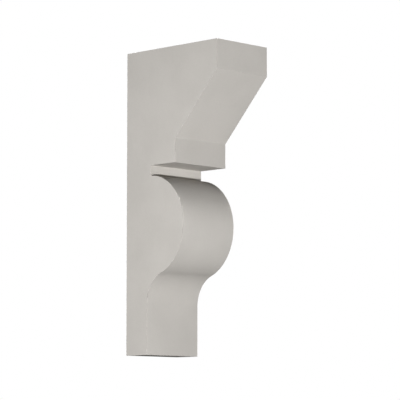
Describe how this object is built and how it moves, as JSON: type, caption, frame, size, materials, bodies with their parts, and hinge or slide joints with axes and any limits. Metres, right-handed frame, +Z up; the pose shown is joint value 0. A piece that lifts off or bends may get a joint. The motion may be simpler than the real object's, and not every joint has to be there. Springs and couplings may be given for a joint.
{
  "type": "architectural bracket",
  "caption": "Wall bracket with a deep flat top, splayed front, undercut neck, full rounded bulge and a cove running down to a slim flat tail.",
  "frame": {"origin": "middle of the flat back, on the wall's surface", "axes": "+Z up, +Y into the wall, so the front faces -Y, and X across the width"},
  "size_m": [0.1016, 0.1778, 0.4318],
  "materials": {
    "primed_paint": "smooth satin primer paint over rigid moulded foam"
  },
  "bodies": {
    "root": {"bracket": "primed_paint"}
  },
  "joints": []
}
